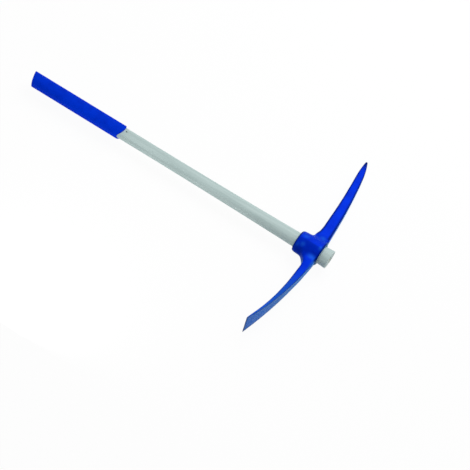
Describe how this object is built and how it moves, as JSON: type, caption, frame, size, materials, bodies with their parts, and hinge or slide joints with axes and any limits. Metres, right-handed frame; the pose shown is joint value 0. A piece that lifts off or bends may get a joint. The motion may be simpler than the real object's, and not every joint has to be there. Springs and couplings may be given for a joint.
{
  "type": "pickaxe",
  "caption": "Drop-in pickaxe: blue forged head with pick and adze arms on a tapered grey glass-fibre handle with a soft blue butt grip.",
  "frame": {"origin": "under the middle of the bounding box, at the lowest point of the tool lying on its side", "axes": "+X along the handle from the butt to the head end, +Y from the adze to the pick's point, +Z square to the plane the tool swings in"},
  "size_m": [0.9062, 0.6092, 0.0688],
  "materials": {
    "head_paint": "satin blue enamel on a drop-forged steel head",
    "jacket_plastic": "pale grey moulded polypropylene, satin",
    "core_fibreglass": "pultruded glass fibre, sawn end",
    "grip_rubber": "blue soft-touch thermoplastic rubber, fine grain"
  },
  "bodies": {
    "handle": {"handle_jacket": "jacket_plastic", "fibreglass_core": "core_fibreglass", "butt_grip": "grip_rubber"},
    "head": {"pick_head": "head_paint"}
  },
  "joints": [
    {"name": "head_slide", "type": "slide", "parent": "handle", "child": "head", "axis": [-1, 0, 0], "range_m": [0, 0.9]}
  ]
}
